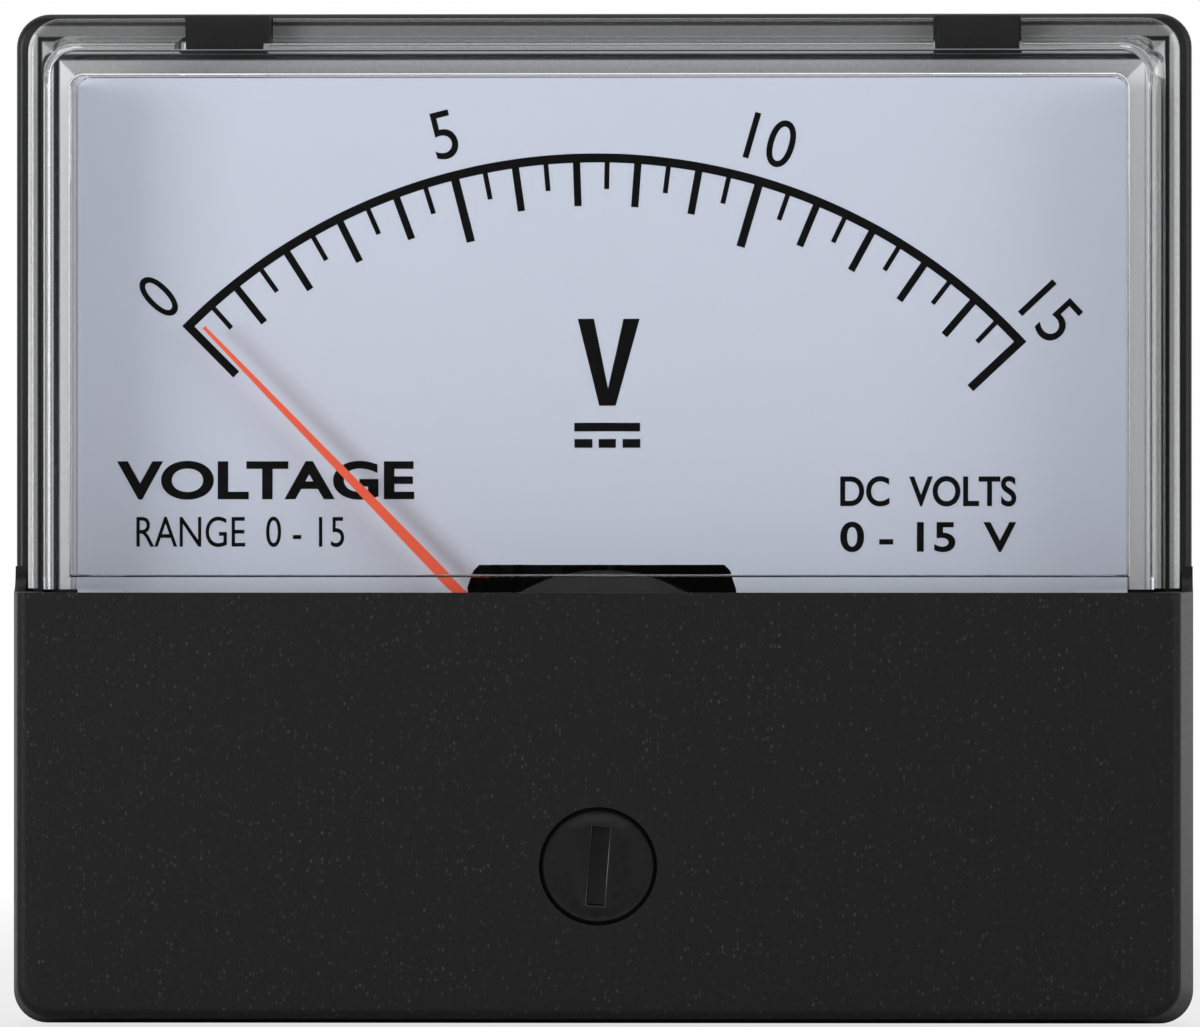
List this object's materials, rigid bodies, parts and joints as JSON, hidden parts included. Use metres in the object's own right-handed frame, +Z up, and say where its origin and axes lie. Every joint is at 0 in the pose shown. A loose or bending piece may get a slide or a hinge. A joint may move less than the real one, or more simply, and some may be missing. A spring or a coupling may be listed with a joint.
{
  "type": "analog panel meter",
  "caption": "Rectangular moving-coil panel voltmeter: clear window over a printed arc scale, black lower cover with zero adjuster, round barrel, studs and screw terminals.",
  "frame": {"origin": "axis of the barrel, in the plane of the panel (the back face of the flange)", "axes": "+X to the right of the face, +Y into the panel along the barrel, +Z up the face"},
  "size_m": [0.07, 0.0546, 0.06],
  "materials": {
    "base_plastic": "moulded black plastic, satin",
    "window_plastic": "clear moulded plastic, polished",
    "cover_plastic": "moulded black plastic, fine spark texture",
    "dial_paint": "pale blue-grey enamel, printed scale",
    "dial_print": "screen-printed black ink",
    "plated_steel": "zinc or nickel plated",
    "brass": "turned brass",
    "stop_rubber": "soft sleeve",
    "soft_iron": "dark phosphated soft iron",
    "magnet": "ground magnet alloy",
    "zinc_casting": "die-cast, tumbled",
    "spring_bronze": "rolled phosphor bronze",
    "aluminium": "drawn aluminium",
    "copper_winding": "enamelled copper wire",
    "pivot_steel": "polished steel",
    "pointer_paint": "orange-red enamel on aluminium",
    "adjuster_plastic": "moulded black plastic, semi-gloss",
    "resistor_body": "lacquered film resistor",
    "wire_sleeve": "red insulation",
    "tinned_brass": "tinned brass"
  },
  "bodies": {
    "case": {"base": "base_plastic", "window_cover": "window_plastic", "lower_cover": "cover_plastic", "dial_plate": "dial_paint", "dial_screws": "plated_steel", "dial_pillars": "brass", "stop_pins": "brass", "stop_sleeves": "stop_rubber", "yoke": "soft_iron", "core_magnet": "magnet", "core_frame": "zinc_casting", "frame_screws": "plated_steel", "front_bridge": "brass", "rear_bridge": "brass", "bridge_screws": "plated_steel", "front_jewel_screw": "brass", "rear_jewel_screw": "brass", "jewel_locknuts": "brass", "rear_spring_arm": "spring_bronze", "zero_screw_ring": "base_plastic", "movement_screws": "plated_steel", "series_resistor": "resistor_body", "lead_wire": "wire_sleeve", "solder_lugs": "tinned_brass", "terminal_studs": "brass", "terminal_washers": "plated_steel", "terminal_nuts": "brass", "mounting_studs": "plated_steel"},
    "moving_coil": {"coil_former": "aluminium", "coil_winding": "copper_winding", "front_pivot": "pivot_steel", "rear_pivot": "pivot_steel", "pointer": "pointer_paint", "balance_weights": "brass", "front_hairspring": "spring_bronze", "rear_hairspring": "spring_bronze"},
    "zero_adjuster": {"zero_screw": "adjuster_plastic"},
    "zero_arm": {"zero_lever": "spring_bronze"}
  },
  "joints": [
    {"name": "pointer_swing", "type": "hinge", "parent": "case", "child": "moving_coil", "pos_m": [0, 0, -0.01305], "axis": [0, 1, 0], "range_deg": [-4, 94], "stiffness_Nm_per_rad": 0.00002, "deforming": ["front_hairspring", "rear_hairspring"]},
    {"name": "zero_adjust", "type": "hinge", "parent": "case", "child": "zero_adjuster", "pos_m": [0, 0, -0.0204], "axis": [0, 1, 0], "range_deg": [-45, 45]},
    {"name": "zero_lever_turn", "type": "hinge", "parent": "case", "child": "zero_arm", "pos_m": [0, 0, -0.01305], "axis": [0, 1, 0], "range_deg": [-6.5, 6.5], "deforming": ["front_hairspring"]}
  ],
  "couplings": [
    {"joint": "zero_lever_turn", "follows": "zero_adjust", "ratio": 0.137}
  ]
}
